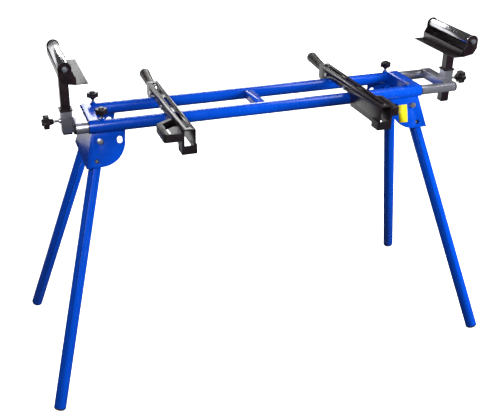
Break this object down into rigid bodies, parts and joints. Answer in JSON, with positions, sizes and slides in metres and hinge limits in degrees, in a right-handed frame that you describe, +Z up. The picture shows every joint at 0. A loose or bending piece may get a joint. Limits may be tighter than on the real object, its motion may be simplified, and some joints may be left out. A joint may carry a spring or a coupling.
{
  "type": "mitre saw stand",
  "caption": "Folding mitre saw stand: twin tube rails on splayed tubular legs, slotted sliding saw arms with clamp levers, and height-adjustable roller supports on extending ends.",
  "frame": {"origin": "on the floor, under the middle of the whole stand as it is set up", "axes": "+X along the rails towards the pulled-out end, +Y away from the side with the arm handles, +Z up"},
  "size_m": [1.5236, 0.646, 1.0535],
  "materials": {
    "blue_paint": "gloss",
    "black_paint": "semi gloss",
    "zinc_plate": "satin",
    "chrome_plate": "polished",
    "black_plastic": "matte",
    "brown_plastic": "matte",
    "black_rubber": "matte"
  },
  "bodies": {
    "stand": {"front_rail": "blue_paint", "back_rail": "blue_paint", "middle_crossbar": "blue_paint", "left_tie_plate": "blue_paint", "right_tie_plate": "blue_paint", "left_leg_bracket": "blue_paint", "right_leg_bracket": "blue_paint", "leg_pivot_bolts": "zinc_plate", "rail_collars": "black_plastic", "lock_weld_nuts": "blue_paint"},
    "front_left_leg": {"leg_front_left": "blue_paint", "foot_front_left": "black_rubber"},
    "front_left_snap_button": {"snap_button_front_left": "zinc_plate"},
    "front_left_lock_knob": {"lock_knob_front_left": "black_plastic"},
    "back_left_leg": {"leg_back_left": "blue_paint", "foot_back_left": "black_rubber"},
    "back_left_snap_button": {"snap_button_back_left": "zinc_plate"},
    "back_left_lock_knob": {"lock_knob_back_left": "black_plastic"},
    "front_right_leg": {"leg_front_right": "blue_paint", "foot_front_right": "black_rubber"},
    "front_right_snap_button": {"snap_button_front_right": "zinc_plate"},
    "front_right_lock_bolt": {"lock_bolt_front_right": "zinc_plate"},
    "back_right_leg": {"leg_back_right": "blue_paint", "foot_back_right": "black_rubber"},
    "back_right_snap_button": {"snap_button_back_right": "zinc_plate"},
    "back_right_lock_knob": {"lock_knob_back_right": "black_plastic"},
    "left_extension": {"left_extension_tubes": "zinc_plate", "left_tube_caps": "black_plastic", "left_cross_channel": "zinc_plate", "left_post_socket": "zinc_plate", "left_socket_collar": "black_plastic"},
    "left_post": {"left_roller_post": "black_paint", "left_roller_cradle": "black_paint", "left_stop_plate": "black_paint", "left_roller_axle": "zinc_plate"},
    "left_roller": {"left_roller_tube": "chrome_plate", "left_roller_bearings": "black_plastic"},
    "left_socket_knob": {"socket_knob_left": "black_plastic"},
    "right_extension": {"right_extension_tubes": "zinc_plate", "right_tube_caps": "black_plastic", "right_cross_channel": "zinc_plate", "right_post_socket": "zinc_plate", "right_socket_collar": "black_plastic"},
    "right_post": {"right_roller_post": "black_paint", "right_roller_cradle": "black_paint", "right_stop_plate": "black_paint", "right_roller_axle": "zinc_plate"},
    "right_roller": {"right_roller_tube": "chrome_plate", "right_roller_bearings": "black_plastic"},
    "right_socket_knob": {"socket_knob_right": "black_plastic"},
    "left_arm": {"left_arm_channel": "black_paint", "left_arm_foot_and_handle": "black_plastic", "left_arm_bolts": "zinc_plate"},
    "left_lever": {"left_release_lever": "black_paint", "left_lever_grip": "brown_plastic"},
    "right_arm": {"right_arm_channel": "black_paint", "right_arm_foot_and_handle": "black_plastic", "right_arm_bolts": "zinc_plate"},
    "right_lever": {"right_release_lever": "black_paint", "right_lever_grip": "brown_plastic"}
  },
  "joints": [
    {"name": "front_left_leg_fold", "type": "hinge", "parent": "stand", "child": "front_left_leg", "pos_m": [-0.5268, -0.0635, 0.7867], "axis": [0.008, -0.9454, 0.3257], "range_deg": [0, 104.8]},
    {"name": "front_left_snap_button_slide", "type": "slide", "parent": "front_left_leg", "child": "front_left_snap_button", "axis": [0, -0.9549, 0.2969], "range_m": [0, 0.0075]},
    {"name": "front_left_lock_knob_turn", "type": "hinge", "parent": "stand", "child": "front_left_lock_knob", "pos_m": [-0.5148, -0.074, 0.88], "axis": [0, 0, 1], "range_deg": [0, 180]},
    {"name": "back_left_leg_fold", "type": "hinge", "parent": "stand", "child": "back_left_leg", "pos_m": [-0.5268, 0.0635, 0.7867], "axis": [-0.008, -0.9454, -0.3257], "range_deg": [0, 104.8]},
    {"name": "back_left_snap_button_slide", "type": "slide", "parent": "back_left_leg", "child": "back_left_snap_button", "axis": [0, 0.9549, 0.2969], "range_m": [0, 0.0075]},
    {"name": "back_left_lock_knob_turn", "type": "hinge", "parent": "stand", "child": "back_left_lock_knob", "pos_m": [-0.5148, 0.074, 0.88], "axis": [0, 0, 1], "range_deg": [0, 180]},
    {"name": "front_right_leg_fold", "type": "hinge", "parent": "stand", "child": "front_right_leg", "pos_m": [0.5172, -0.0635, 0.7867], "axis": [-0.008, 0.9635, -0.2677], "range_deg": [0, 104.8]},
    {"name": "front_right_snap_button_slide", "type": "slide", "parent": "front_right_leg", "child": "front_right_snap_button", "axis": [0, -0.9549, 0.2969], "range_m": [0, 0.0075]},
    {"name": "front_right_lock_bolt_turn", "type": "hinge", "parent": "stand", "child": "front_right_lock_bolt", "pos_m": [0.4962, -0.074, 0.866], "axis": [0, 0, 1], "range_deg": [0, 180]},
    {"name": "back_right_leg_fold", "type": "hinge", "parent": "stand", "child": "back_right_leg", "pos_m": [0.5172, 0.0635, 0.7867], "axis": [0.008, 0.9635, 0.2677], "range_deg": [0, 104.8]},
    {"name": "back_right_snap_button_slide", "type": "slide", "parent": "back_right_leg", "child": "back_right_snap_button", "axis": [0, 0.9549, 0.2969], "range_m": [0, 0.0075]},
    {"name": "back_right_lock_knob_turn", "type": "hinge", "parent": "stand", "child": "back_right_lock_knob", "pos_m": [0.4962, 0.074, 0.88], "axis": [0, 0, 1], "range_deg": [0, 180]},
    {"name": "left_extension_slide", "type": "slide", "parent": "stand", "child": "left_extension", "axis": [-1, 0, 0], "range_m": [0, 0.33]},
    {"name": "left_post_height", "type": "slide", "parent": "left_extension", "child": "left_post", "axis": [0, 0, 1], "range_m": [-0.095, 0.03]},
    {"name": "left_roller_spin", "type": "hinge", "parent": "left_post", "child": "left_roller", "pos_m": [-0.6163, 0.01, 1.034], "axis": [0, 1, 0], "continuous": true},
    {"name": "left_socket_knob_turn", "type": "hinge", "parent": "left_extension", "child": "left_socket_knob", "pos_m": [-0.6503, 0, 0.84], "axis": [-1, 0, 0], "range_deg": [0, 180]},
    {"name": "right_extension_slide", "type": "slide", "parent": "stand", "child": "right_extension", "axis": [1, 0, 0], "range_m": [-0.0885, 0.24]},
    {"name": "right_post_height", "type": "slide", "parent": "right_extension", "child": "right_post", "axis": [0, 0, 1], "range_m": [-0.06, 0.07]},
    {"name": "right_roller_spin", "type": "hinge", "parent": "right_post", "child": "right_roller", "pos_m": [0.6952, 0.01, 0.9985], "axis": [0, 1, 0], "continuous": true},
    {"name": "right_socket_knob_turn", "type": "hinge", "parent": "right_extension", "child": "right_socket_knob", "pos_m": [0.7292, 0, 0.84], "axis": [1, 0, 0], "range_deg": [0, 180]},
    {"name": "left_arm_slide", "type": "slide", "parent": "stand", "child": "left_arm", "axis": [1, 0, 0], "range_m": [-0.165, 0.27]},
    {"name": "left_lever_lift", "type": "hinge", "parent": "left_arm", "child": "left_lever", "pos_m": [-0.3068, 0.09, 0.865], "axis": [1, 0, 0], "range_deg": [0, 10]},
    {"name": "right_arm_slide", "type": "slide", "parent": "stand", "child": "right_arm", "axis": [1, 0, 0], "range_m": [-0.27, 0.15]},
    {"name": "right_lever_lift", "type": "hinge", "parent": "right_arm", "child": "right_lever", "pos_m": [0.3022, 0.09, 0.865], "axis": [1, 0, 0], "range_deg": [0, 10]}
  ]
}
